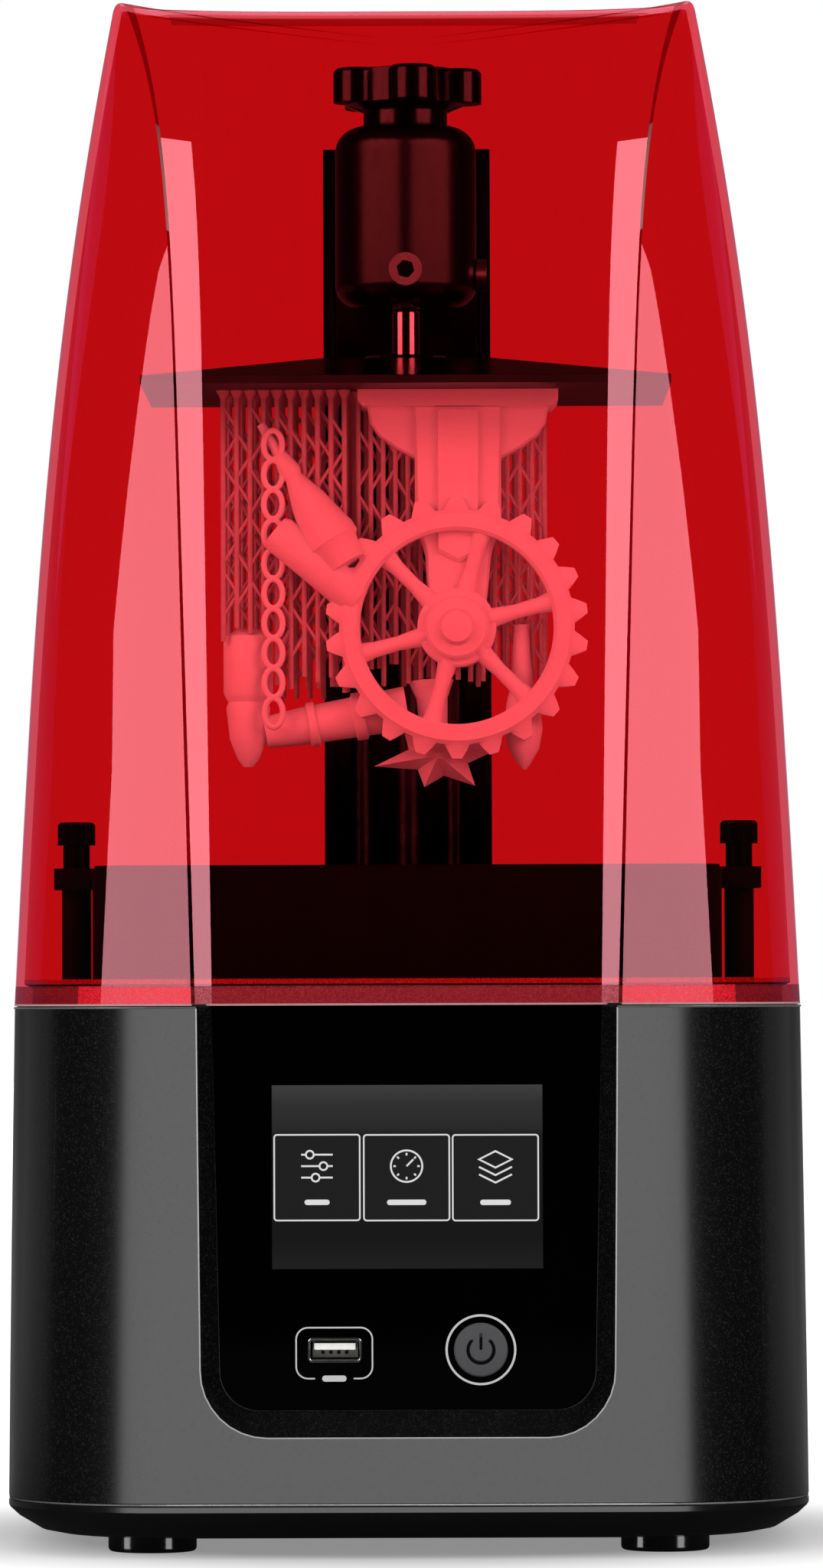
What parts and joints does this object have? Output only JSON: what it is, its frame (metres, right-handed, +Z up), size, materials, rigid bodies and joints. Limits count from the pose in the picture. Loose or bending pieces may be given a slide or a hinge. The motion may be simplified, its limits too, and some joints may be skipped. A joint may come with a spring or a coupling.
{
  "type": "resin printer",
  "caption": "Desktop resin printer: dark metal housing with touchscreen, lift-off translucent red cover, resin vat and build platform on a screw-driven Z axis.",
  "frame": {"origin": "middle of the footprint on the floor", "axes": "+X towards the machine's right, -Y towards its front, +Z up"},
  "size_m": [0.227, 0.227, 0.4384],
  "materials": {
    "housing_paint": "satin metallic dark grey",
    "front_glass": "polished black",
    "screen": "polished",
    "connector_steel": "bright",
    "white_plastic": "matt",
    "gold_contact": "bright",
    "button_plastic": "satin",
    "light_ring": "translucent white",
    "black_plastic": "matt",
    "circuit_board": "satin",
    "tray_plastic": "gloss",
    "foot_rubber": "matt",
    "screw_steel": "bright",
    "deck_paint": "satin",
    "seal_rubber": "matt",
    "mask_glass": "polished",
    "clear_acrylic": "clear",
    "lamp_board": "white",
    "bare_aluminium": "milled",
    "motor_paint": "satin",
    "black_aluminium": "black anodised",
    "rod_steel": "ground",
    "bearing_brass": "turned",
    "ball_steel": "polished",
    "blasted_aluminium": "sand blasted",
    "knob_plastic": "satin",
    "vat_paint": "satin black",
    "clear_film": "clear",
    "red_acrylic": "polished translucent red"
  },
  "bodies": {
    "base": {"body_shell": "housing_paint", "fascia_glass": "front_glass", "touchscreen": "screen", "usb_shell": "connector_steel", "usb_tongue": "white_plastic", "usb_contacts": "gold_contact", "power_ring": "light_ring", "power_switch": "black_plastic", "front_board": "circuit_board", "dc_jack": "black_plastic", "base_tray": "tray_plastic", "foot_front_left": "foot_rubber", "foot_front_right": "foot_rubber", "foot_rear_left": "foot_rubber", "foot_rear_right": "foot_rubber", "foot_screws": "screw_steel", "mainboard": "circuit_board", "deck_plate": "deck_paint", "deck_screws": "screw_steel", "cover_seal": "seal_rubber", "lcd_panel": "mask_glass", "lcd_frame": "black_plastic", "lens_sheet": "clear_acrylic", "light_duct": "black_plastic", "led_board": "lamp_board", "heat_sink": "bare_aluminium", "fan_frame": "black_plastic", "z_motor": "motor_paint", "column_foot": "black_aluminium", "z_column": "black_aluminium", "column_cap": "black_aluminium", "guide_rod_left": "rod_steel", "guide_rod_right": "rod_steel"},
    "cover": {"cover": "red_acrylic"},
    "z_carriage": {"carriage": "black_aluminium", "rod_bushings": "bearing_brass", "lead_nut": "bearing_brass", "support_arm": "black_aluminium", "arm_bolts": "screw_steel"},
    "build_platform": {"platform_holder": "black_aluminium", "ball_socket": "black_aluminium", "ball_stud": "ball_steel", "clamp_screw_front": "screw_steel", "clamp_screw_side": "screw_steel", "plate_roof": "black_aluminium", "build_plate": "blasted_aluminium"},
    "star_knob": {"star_knob": "knob_plastic"},
    "screw": {"lead_screw": "rod_steel"},
    "vat": {"vat_frame": "vat_paint", "film_frame": "bare_aluminium", "release_film": "clear_film", "film_screws": "screw_steel"},
    "thumbscrew_left": {"thumbscrew_left": "knob_plastic"},
    "thumbscrew_right": {"thumbscrew_right": "knob_plastic"},
    "power_button": {"power_button": "button_plastic"},
    "fan": {"fan_rotor": "black_plastic"}
  },
  "joints": [
    {"name": "cover_lift", "type": "slide", "parent": "base", "child": "cover", "axis": [0, 0, 1], "range_m": [0, 0.3]},
    {"name": "z_axis", "type": "slide", "parent": "base", "child": "z_carriage", "axis": [0, 0, 1], "range_m": [-0.1713, 0.005]},
    {"name": "lead_screw_spin", "type": "hinge", "parent": "base", "child": "screw", "pos_m": [0, 0.06105, 0.12], "axis": [0, 0, 1], "continuous": true},
    {"name": "platform_slide", "type": "slide", "parent": "z_carriage", "child": "build_platform", "axis": [0, -1, 0], "range_m": [0, 0.026]},
    {"name": "star_knob_turn", "type": "hinge", "parent": "build_platform", "child": "star_knob", "pos_m": [0, -0.011, 0.41], "axis": [0, 0, 1], "continuous": true},
    {"name": "vat_lift", "type": "slide", "parent": "base", "child": "vat", "axis": [0, 0, 1], "range_m": [0, 0.05]},
    {"name": "thumbscrew_left_turn", "type": "hinge", "parent": "vat", "child": "thumbscrew_left", "pos_m": [-0.0965, -0.011, 0.19], "axis": [0, 0, 1], "continuous": true},
    {"name": "thumbscrew_right_turn", "type": "hinge", "parent": "vat", "child": "thumbscrew_right", "pos_m": [0.0965, -0.011, 0.19], "axis": [0, 0, 1], "continuous": true},
    {"name": "power_press", "type": "slide", "parent": "base", "child": "power_button", "axis": [0, 1, 0], "range_m": [0, 0.0012], "stiffness_N_per_m": 500, "springref_m": -0.001},
    {"name": "fan_spin", "type": "hinge", "parent": "base", "child": "fan", "pos_m": [0, -0.011, 0.047], "axis": [0, 0, 1], "continuous": true}
  ],
  "couplings": [
    {"joint": "lead_screw_spin", "follows": "z_axis", "rad_per_m": -1570.8}
  ]
}
